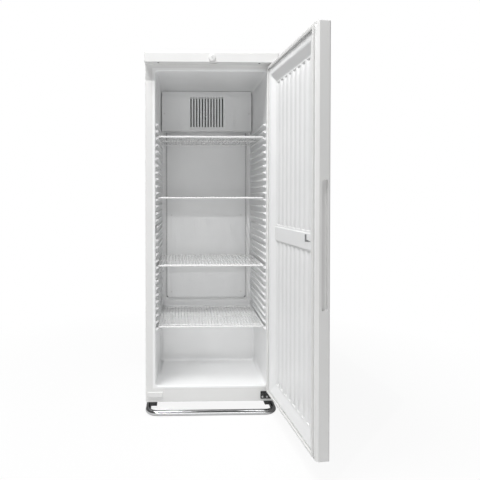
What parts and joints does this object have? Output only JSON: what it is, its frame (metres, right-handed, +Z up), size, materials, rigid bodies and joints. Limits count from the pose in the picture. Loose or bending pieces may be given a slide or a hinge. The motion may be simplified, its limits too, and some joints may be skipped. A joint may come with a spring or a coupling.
{
  "type": "refrigerator",
  "caption": "Upright single-door bottle refrigerator with fan cooling, sliding wire shelves on moulded ledges, a lock in the fascia, a tubular front foot bar and rear rollers",
  "frame": {"origin": "on the floor, under the centre of the cabinet's footprint (the cabinet without its door)", "axes": "+Z up; -Y is the cabinet's front, where the door is; +X is the side of the door's hinges, on the right for someone standing in front"},
  "size_m": [0.6729, 1.1589, 1.64],
  "materials": {
    "white_enamel": "satin",
    "white_base": "satin",
    "galvanised_sheet": "satin",
    "white_liner": "satin",
    "white_trim": "satin",
    "white_gasket": "matte",
    "rigid_foam": "matte",
    "white_wire": "gloss",
    "black_wire": "satin",
    "black_steel": "satin",
    "black_plastic": "matte",
    "black_rubber": "matte",
    "chrome_tube": "polished",
    "lock_metal": "satin",
    "steel": "satin",
    "grey_plastic": "matte",
    "bare_aluminium": "satin",
    "copper": "satin"
  },
  "bodies": {
    "cabinet": {"air_panel": "white_liner", "back_wall_screws": "white_enamel", "base_front_panel": "white_base", "base_plate": "galvanised_sheet", "cabinet_foam": "rigid_foam", "compressor": "black_steel", "compressor_mounts": "black_rubber", "condenser_clips": "black_plastic", "condenser_tube": "black_wire", "condenser_wires": "black_wire", "cover_screws": "steel", "discharge_pipe": "copper", "drain_pipe": "grey_plastic", "evaporating_tray": "black_plastic", "evaporator": "bare_aluminium", "fan_bracket": "galvanised_sheet", "fan_housing": "white_liner", "fan_motor": "steel", "filter_drier": "copper", "foot_bar": "chrome_tube", "foot_bar_bolts": "steel", "foot_bar_brackets": "black_steel", "foot_bar_plugs": "black_plastic", "hinge_screws": "steel", "inner_liner": "white_liner", "left_hinge_cover": "white_trim", "lock_bezel": "white_trim", "lower_hinge_bracket": "black_steel", "lower_hinge_pin": "steel", "machine_floor": "galvanised_sheet", "machine_wall": "galvanised_sheet", "mains_gland": "black_plastic", "outer_shell": "white_enamel", "rear_panel": "galvanised_sheet", "roller_axles": "steel", "roller_brackets": "galvanised_sheet", "suction_pipe": "copper", "terminal_box": "black_plastic", "thermostat": "grey_plastic", "top_cover": "white_trim", "upper_hinge_bracket": "steel", "upper_hinge_pin": "steel", "wall_plug": "black_plastic"},
    "door": {"bottle_clip": "black_plastic", "door_bottom_cap": "white_trim", "door_bushes": "grey_plastic", "door_foam": "rigid_foam", "door_gasket": "white_gasket", "door_liner": "white_liner", "door_skin": "white_enamel", "door_top_cap": "white_trim", "grip_cup": "white_trim"},
    "lock": {"lock_barrel": "lock_metal"},
    "fan": {"fan_blades": "grey_plastic"},
    "roller_right": {"rear_roller_right": "black_plastic"},
    "roller_left": {"rear_roller_left": "black_plastic"},
    "shelf_1": {"wire_shelf_1": "white_wire"},
    "shelf_2": {"wire_shelf_2": "white_wire"},
    "shelf_3": {"wire_shelf_3": "white_wire"},
    "shelf_4": {"wire_shelf_4": "white_wire"}
  },
  "joints": [
    {"name": "door_hinge", "type": "hinge", "parent": "cabinet", "child": "door", "pos_m": [0.28, -0.306, 0.088], "axis": [0, 0, 1], "range_deg": [-96, 19]},
    {"name": "lock_turn", "type": "hinge", "parent": "cabinet", "child": "lock", "pos_m": [0, -0.33, 1.613], "axis": [0, 1, 0], "range_deg": [0, 90]},
    {"name": "fan_spin", "type": "hinge", "parent": "cabinet", "child": "fan", "pos_m": [0, 0.179, 1.446], "axis": [0, 1, 0], "continuous": true},
    {"name": "roller_right_spin", "type": "hinge", "parent": "cabinet", "child": "roller_right", "pos_m": [0.235, 0.23, 0.025], "axis": [1, 0, 0], "continuous": true},
    {"name": "roller_left_spin", "type": "hinge", "parent": "cabinet", "child": "roller_left", "pos_m": [-0.235, 0.23, 0.025], "axis": [1, 0, 0], "continuous": true},
    {"name": "shelf_1_slide", "type": "slide", "parent": "cabinet", "child": "shelf_1", "axis": [0, -1, 0], "range_m": [0, 0.25]},
    {"name": "shelf_2_slide", "type": "slide", "parent": "cabinet", "child": "shelf_2", "axis": [0, -1, 0], "range_m": [0, 0.25]},
    {"name": "shelf_3_slide", "type": "slide", "parent": "cabinet", "child": "shelf_3", "axis": [0, -1, 0], "range_m": [0, 0.25]},
    {"name": "shelf_4_slide", "type": "slide", "parent": "cabinet", "child": "shelf_4", "axis": [0, -1, 0], "range_m": [0, 0.25]}
  ]
}
